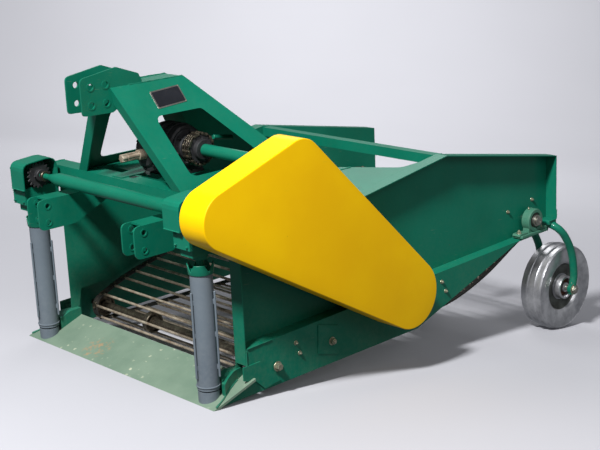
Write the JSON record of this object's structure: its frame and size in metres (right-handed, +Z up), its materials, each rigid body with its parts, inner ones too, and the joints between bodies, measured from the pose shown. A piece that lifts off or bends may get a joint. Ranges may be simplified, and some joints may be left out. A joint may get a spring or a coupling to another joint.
{
  "type": "tractor mounted potato harvester",
  "caption": "Potato harvester for a tractor's three-point hitch: digging blade, upright side rollers, inclined rod chain between side walls, A-frame, side drive cover and two rear wheels.",
  "frame": {"origin": "on the ground under the middle of the machine's bounding box, as it parks on its blade and rear wheels", "axes": "+Z up, -Y towards the tractor and the digging blade, +Y to the rear, +X to the side with the drive cover"},
  "size_m": [1.498, 2.7628, 1.2785],
  "materials": {
    "green_paint": "gloss enamel",
    "yellow_paint": "gloss enamel",
    "blade_primer": "matte primer, scuffed",
    "grey_paint": "satin enamel",
    "wheel_steel": "worn grey paint on pressed steel",
    "bare_steel": "turned",
    "cast_iron": "dark and oily",
    "chain_steel": "rod chain, rubbed bright on top",
    "bearing_iron": "painted casting"
  },
  "bodies": {
    "frame": {"digging_blade": "blade_primer", "blade_toe_right": "green_paint", "blade_toe_left": "green_paint", "side_wall_right": "green_paint", "side_wall_left": "green_paint", "lower_side_wall_right": "green_paint", "lower_side_wall_left": "green_paint", "blade_bracket_right": "green_paint", "blade_bracket_left": "green_paint", "front_cross_beam": "green_paint", "mid_cross_beam": "green_paint", "corner_gusset_right": "green_paint", "corner_gusset_left": "green_paint", "frame_rail_right": "green_paint", "frame_rail_left": "green_paint", "rear_cross_bar": "green_paint", "lower_cross_tube": "green_paint", "lower_hitch_bracket_right": "green_paint", "lower_hitch_bracket_left": "green_paint", "upper_hitch_head": "green_paint", "a_frame_panel_right": "green_paint", "a_frame_panel_left": "green_paint", "a_frame_back_plate": "green_paint", "gearbox_mount": "green_paint", "gearbox": "cast_iron", "input_shaft": "cast_iron", "chain_coupling": "cast_iron", "output_shaft": "green_paint", "input_shaft_shield": "green_paint", "drive_cover": "yellow_paint", "drive_cover_back": "green_paint", "cross_shaft": "green_paint", "roller_drive_guard_right": "green_paint", "roller_drive_guard_left": "green_paint", "roller_drive_box_right": "green_paint", "roller_drive_box_left": "green_paint", "roller_foot_right": "grey_paint", "roller_foot_left": "grey_paint", "conveyor_chain": "chain_steel", "front_idler_shaft": "chain_steel", "drive_shaft": "chain_steel", "drive_bearing_right": "green_paint", "drive_bearing_left": "green_paint", "rear_conveyor_shaft": "bare_steel", "rear_bearing_right": "bearing_iron", "rear_bearing_left": "bearing_iron", "wheel_fork_right": "green_paint", "wheel_fork_left": "green_paint", "wheel_axle_right": "bare_steel", "wheel_axle_left": "bare_steel"},
    "roller_right": {"crop_roller_right": "grey_paint", "roller_crown_right": "green_paint"},
    "roller_left": {"crop_roller_left": "grey_paint", "roller_crown_left": "green_paint"},
    "right_wheel": {"wheel_right": "wheel_steel"},
    "left_wheel": {"wheel_left": "wheel_steel"}
  },
  "joints": [
    {"name": "roller_right_spin", "type": "hinge", "parent": "frame", "child": "roller_right", "pos_m": [0.533, -1.12713, 0.30466], "axis": [0, -0.1336, 0.991], "continuous": true},
    {"name": "roller_left_spin", "type": "hinge", "parent": "frame", "child": "roller_left", "pos_m": [-0.605, -1.12713, 0.30466], "axis": [0, -0.1336, 0.991], "continuous": true},
    {"name": "wheel_right_spin", "type": "hinge", "parent": "frame", "child": "right_wheel", "pos_m": [0.547, 1.16345, 0.218], "axis": [1, 0, 0], "continuous": true},
    {"name": "wheel_left_spin", "type": "hinge", "parent": "frame", "child": "left_wheel", "pos_m": [-0.619, 1.16345, 0.218], "axis": [1, 0, 0], "continuous": true}
  ]
}
